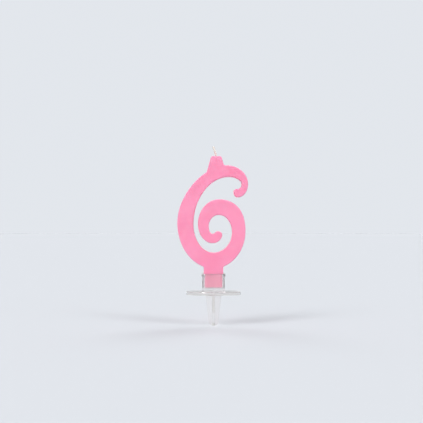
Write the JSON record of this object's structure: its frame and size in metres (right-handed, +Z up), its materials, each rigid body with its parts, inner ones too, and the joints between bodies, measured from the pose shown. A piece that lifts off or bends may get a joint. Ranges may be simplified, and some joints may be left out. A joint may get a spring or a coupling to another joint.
{
  "type": "number birthday candle",
  "caption": "Pink wax digit six with curled ends, a wick in its top stub, standing in a clear spiked holder that is pushed into a cake.",
  "frame": {"origin": "middle of the drip plate's underside, which lies on the top of the cake", "axes": "+Z up out of the cake, front face of the digit towards -Y, +X to the right as the digit is read from the front"},
  "size_m": [0.0446, 0.0186, 0.1133],
  "materials": {
    "pink_wax": "satin cast paraffin wax, slightly translucent",
    "cotton_wick": "braided cotton, waxed",
    "clear_plastic": "clear polystyrene, glossy"
  },
  "bodies": {
    "holder": {"holder": "clear_plastic"},
    "candle": {"wax_numeral": "pink_wax", "wick": "cotton_wick"}
  },
  "joints": [
    {"name": "candle_lift", "type": "slide", "parent": "holder", "child": "candle", "axis": [0, 0, 1], "range_m": [0, 0.01]}
  ]
}
